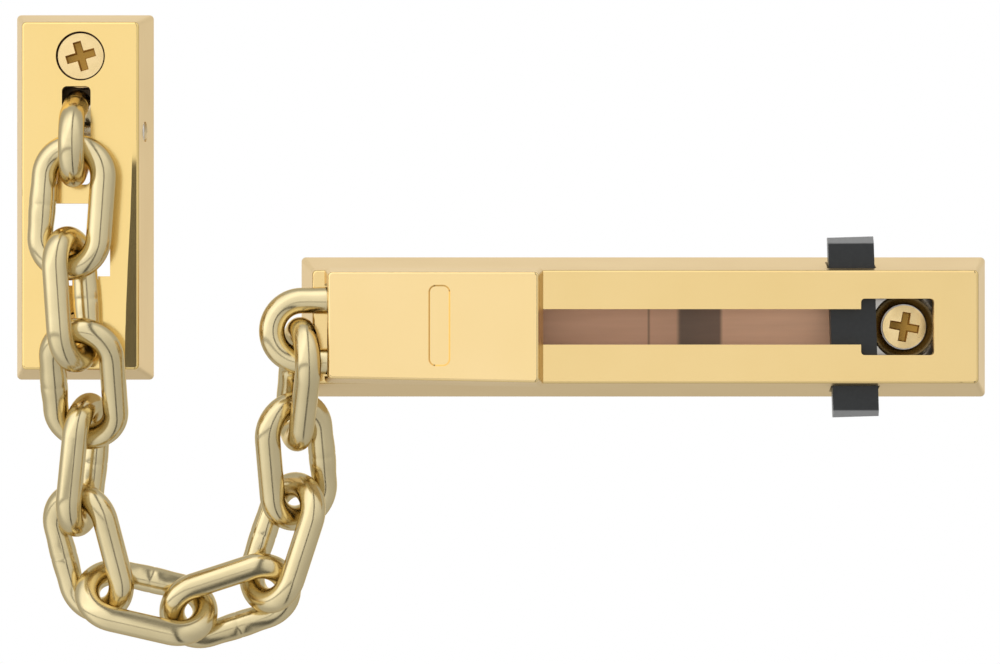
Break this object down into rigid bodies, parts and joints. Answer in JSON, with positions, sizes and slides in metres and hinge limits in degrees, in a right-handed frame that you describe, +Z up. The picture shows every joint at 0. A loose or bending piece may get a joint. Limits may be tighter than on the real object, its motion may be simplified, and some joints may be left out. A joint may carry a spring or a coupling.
{
  "type": "door chain",
  "caption": "Brass door chain: a slotted rail with a slider and a release bar, joined by welded links to a hollow anchor plate, hung as with the door shut.",
  "frame": {"origin": "middle of the rail's back, on the face of the door", "axes": "+X along the rail towards its keyhole, +Z up, -Y off the door towards the room"},
  "size_m": [0.1912, 0.0539, 0.1249],
  "materials": {
    "casting": "polished, bright gold",
    "chain": "brass plated, dull",
    "screw": "brass plated",
    "bar": "black, satin",
    "spring": "copper brown strip",
    "pin": "bright"
  },
  "bodies": {
    "base": {"rail": "casting", "leaf_spring": "spring", "spring_rivet": "spring", "rail_screw_left": "screw", "rail_screw_right": "screw", "plate": "casting", "plate_pin": "pin", "plate_screw_top": "screw", "plate_screw_bottom": "screw"},
    "release_bar": {"release_bar": "bar"},
    "slider": {"slider": "casting", "slider_foot": "pin", "link_pin": "pin"},
    "link_1": {"link_1": "chain"},
    "link_2": {"link_2": "chain"},
    "link_3": {"link_3": "chain"},
    "link_4": {"link_4": "chain"},
    "link_5": {"link_5": "chain"},
    "link_6": {"link_6": "chain"},
    "link_7": {"link_7": "chain"},
    "link_8": {"link_8": "chain"},
    "link_9": {"link_9": "chain"},
    "link_10": {"link_10": "chain"},
    "link_11": {"link_11": "chain"},
    "link_12": {"link_12": "chain"}
  },
  "joints": [
    {"name": "release_press", "type": "slide", "parent": "base", "child": "release_bar", "axis": [0, 1, 0], "range_m": [0, 0.0033], "stiffness_N_per_m": 1500, "deforming": ["leaf_spring"]},
    {"name": "slider_run", "type": "slide", "parent": "base", "child": "slider", "axis": [1, 0, 0], "range_m": [0, 0.0048]},
    {"name": "link_1_swing", "type": "hinge", "parent": "base", "child": "link_1", "pos_m": [-0.111, -0.00753, 0.03829], "axis": [1, 0, 0], "range_deg": [-1, 1]},
    {"name": "link_2_swing", "type": "hinge", "parent": "base", "child": "link_2", "pos_m": [-0.1107, -0.0224, 0.0314], "axis": [0, -1, 0], "range_deg": [-1, 1.4]},
    {"name": "link_3_swing", "type": "hinge", "parent": "link_2", "child": "link_3", "pos_m": [-0.1104, -0.019, 0.0166], "axis": [0, -1, 0], "range_deg": [-2.8, 1.9]},
    {"name": "link_4_swing", "type": "hinge", "parent": "link_3", "child": "link_4", "pos_m": [-0.1071, -0.0194, -0.0035], "axis": [0, -1, 0], "range_deg": [-1, 1.4]},
    {"name": "link_5_swing", "type": "hinge", "parent": "link_4", "child": "link_5", "pos_m": [-0.1098, -0.0131, -0.0172], "axis": [0, -1, 0], "range_deg": [-3, 2]},
    {"name": "link_6_swing", "type": "hinge", "parent": "link_5", "child": "link_6", "pos_m": [-0.1127, -0.0064, -0.0367], "axis": [0, -1, 0], "range_deg": [-2.2, 1.5]},
    {"name": "link_7_swing", "type": "hinge", "parent": "link_6", "child": "link_7", "pos_m": [-0.1062, -0.0065, -0.0522], "axis": [0, -1, 0], "range_deg": [-3.6, 5.3]},
    {"name": "link_8_swing", "type": "hinge", "parent": "link_7", "child": "link_8", "pos_m": [-0.0902, -0.006, -0.0533], "axis": [0, -1, 0], "range_deg": [-2.7, 4]},
    {"name": "link_9_swing", "type": "hinge", "parent": "link_8", "child": "link_9", "pos_m": [-0.0735, -0.0096, -0.0508], "axis": [0, -1, 0], "range_deg": [-10.1, 6.7]},
    {"name": "link_10_swing", "type": "hinge", "parent": "link_9", "child": "link_10", "pos_m": [-0.0687, -0.0071, -0.0335], "axis": [0, -1, 0], "range_deg": [-1.2, 1.8]},
    {"name": "link_11_swing", "type": "hinge", "parent": "link_10", "child": "link_11", "pos_m": [-0.0657, -0.0093, -0.0201], "axis": [0, -1, 0], "range_deg": [-3, 4.5]},
    {"name": "link_12_swing", "type": "hinge", "parent": "link_11", "child": "link_12", "pos_m": [-0.0699, -0.0193, -0.0001], "axis": [0, -1, 0], "range_deg": [-0.3, 0.2]}
  ],
  "couplings": [
    {"joint": "link_2_swing", "follows": "link_5_swing", "ratio": -0.463},
    {"joint": "link_3_swing", "follows": "link_5_swing", "ratio": 0.911},
    {"joint": "link_4_swing", "follows": "link_5_swing", "ratio": -0.465},
    {"joint": "link_6_swing", "follows": "link_5_swing", "ratio": 0.727},
    {"joint": "link_7_swing", "follows": "link_5_swing", "ratio": -1.754},
    {"joint": "link_8_swing", "follows": "link_5_swing", "ratio": -1.33},
    {"joint": "link_9_swing", "follows": "link_5_swing", "ratio": 3.349},
    {"joint": "link_10_swing", "follows": "link_5_swing", "ratio": -0.587},
    {"joint": "link_11_swing", "follows": "link_5_swing", "ratio": -1.475},
    {"joint": "link_12_swing", "follows": "link_5_swing", "ratio": 0.088}
  ]
}
